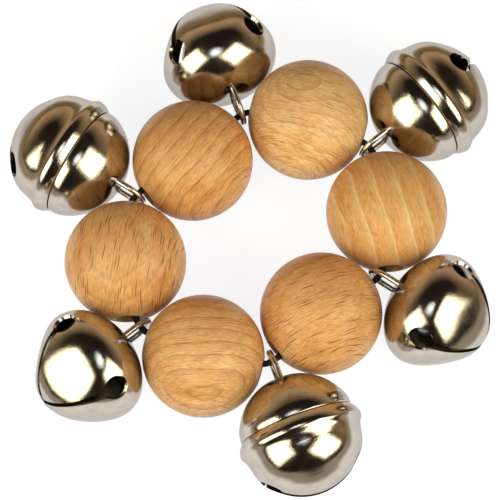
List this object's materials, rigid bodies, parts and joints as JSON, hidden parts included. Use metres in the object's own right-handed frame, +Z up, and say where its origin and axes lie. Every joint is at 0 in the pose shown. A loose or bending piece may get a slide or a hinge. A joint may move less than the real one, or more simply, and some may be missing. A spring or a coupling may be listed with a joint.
{
  "type": "ring rattle",
  "caption": "Hand rattle ring: round beech beads and nickel-plated jingle bells in turn on a closed elastic cord; each bell swings on a wire eye and rings when the ring is shaken.",
  "frame": {"origin": "on the floor the ring lies on, under the middle of the ring of beads", "axes": "+Z up, through the ring's gap; +X to the right and +Y to the far side as the picture shows it"},
  "size_m": [0.0997, 0.1047, 0.026],
  "materials": {
    "beech": "satin oiled beech",
    "nickel": "polished nickel plate on steel sheet",
    "wire": "nickel-plated steel wire",
    "steel": "plain steel shot",
    "elastic": "dark round elastic cord, woven cover"
  },
  "bodies": {
    "cord": {"elastic_cord": "elastic"},
    "bead_1": {"bead_1": "beech"},
    "bead_2": {"bead_2": "beech"},
    "bead_3": {"bead_3": "beech"},
    "bead_4": {"bead_4": "beech"},
    "bead_5": {"bead_5": "beech"},
    "bead_6": {"bead_6": "beech"},
    "bell_1": {"cap_1": "nickel", "bowl_1": "nickel", "eye_1": "wire"},
    "pellet_1": {"pellet_1": "steel"},
    "bell_2": {"petals_2": "nickel", "eye_2": "wire"},
    "pellet_2": {"pellet_2": "steel"},
    "bell_3": {"cap_3": "nickel", "bowl_3": "nickel", "eye_3": "wire"},
    "pellet_3": {"pellet_3": "steel"},
    "bell_4": {"petals_4": "nickel", "eye_4": "wire"},
    "pellet_4": {"pellet_4": "steel"},
    "bell_5": {"cap_5": "nickel", "bowl_5": "nickel", "eye_5": "wire"},
    "pellet_5": {"pellet_5": "steel"},
    "bell_6": {"petals_6": "nickel", "eye_6": "wire"},
    "pellet_6": {"pellet_6": "steel"}
  },
  "joints": [
    {"name": "bead_1_spin", "type": "hinge", "parent": "cord", "child": "bead_1", "pos_m": [-0.01321, 0.01631, 0.013], "axis": [0.7771, 0.6293, 0], "continuous": true},
    {"name": "bead_2_spin", "type": "hinge", "parent": "cord", "child": "bead_2", "pos_m": [0.01079, 0.02521, 0.013], "axis": [0.9644, -0.2644, 0], "continuous": true},
    {"name": "bead_3_spin", "type": "hinge", "parent": "cord", "child": "bead_3", "pos_m": [0.0269, 0.00532, 0.013], "axis": [0.0581, -0.9983, 0], "continuous": true},
    {"name": "bead_4_spin", "type": "hinge", "parent": "cord", "child": "bead_4", "pos_m": [0.01321, -0.01631, 0.013], "axis": [-0.7771, -0.6293, 0], "continuous": true},
    {"name": "bead_5_spin", "type": "hinge", "parent": "cord", "child": "bead_5", "pos_m": [-0.01079, -0.02521, 0.013], "axis": [-0.9644, 0.2644, 0], "continuous": true},
    {"name": "bead_6_spin", "type": "hinge", "parent": "cord", "child": "bead_6", "pos_m": [-0.0269, -0.00532, 0.013], "axis": [-0.0581, 0.9983, 0], "continuous": true},
    {"name": "bell_1_swing", "type": "hinge", "parent": "cord", "child": "bell_1", "pos_m": [-0.02497, 0.00861, 0.013], "axis": [0.6802, 0.733, 0], "range_deg": [-22, 22]},
    {"name": "bell_2_swing", "type": "hinge", "parent": "cord", "child": "bell_2", "pos_m": [-0.00323, 0.02622, 0.013], "axis": [0.8584, 0.513, 0], "range_deg": [-12, 18]},
    {"name": "bell_3_swing", "type": "hinge", "parent": "cord", "child": "bell_3", "pos_m": [0.02359, 0.01911, 0.013], "axis": [0.6293, -0.7771, 0], "range_deg": [-22, 22]},
    {"name": "bell_4_swing", "type": "hinge", "parent": "cord", "child": "bell_4", "pos_m": [0.02497, -0.00861, 0.013], "axis": [-0.6802, -0.733, 0], "range_deg": [-15, 18]},
    {"name": "bell_5_swing", "type": "hinge", "parent": "cord", "child": "bell_5", "pos_m": [0.00323, -0.02622, 0.013], "axis": [-0.8584, -0.513, 0], "range_deg": [-22, 22]},
    {"name": "bell_6_swing", "type": "hinge", "parent": "cord", "child": "bell_6", "pos_m": [-0.02359, -0.01911, 0.013], "axis": [-0.6293, 0.7771, 0], "range_deg": [-20, 14]},
    {"name": "pellet_1_roll", "type": "hinge", "parent": "bell_1", "child": "pellet_1", "pos_m": [-0.03864, 0.01726, 0.013], "axis": [-0.8449, 0.5349, 0], "continuous": true},
    {"name": "pellet_2_roll", "type": "hinge", "parent": "bell_2", "child": "pellet_2", "pos_m": [-0.00778, 0.0385, 0.013], "axis": [-0.3467, 0.9354, -0.0698], "continuous": true},
    {"name": "pellet_3_roll", "type": "hinge", "parent": "bell_3", "child": "pellet_3", "pos_m": [0.03594, 0.02911, 0.013], "axis": [0.7771, 0.6293, 0], "continuous": true},
    {"name": "pellet_4_roll", "type": "hinge", "parent": "bell_4", "child": "pellet_4", "pos_m": [0.03604, -0.01562, 0.013], "axis": [0.8429, -0.5336, -0.0698], "continuous": true},
    {"name": "pellet_5_roll", "type": "hinge", "parent": "bell_5", "child": "pellet_5", "pos_m": [0.00885, -0.04139, 0.013], "axis": [0.3475, -0.9377, 0], "continuous": true},
    {"name": "pellet_6_roll", "type": "hinge", "parent": "bell_6", "child": "pellet_6", "pos_m": [-0.03355, -0.02717, 0.013], "axis": [-0.7753, -0.6278, 0.0698], "continuous": true}
  ]
}
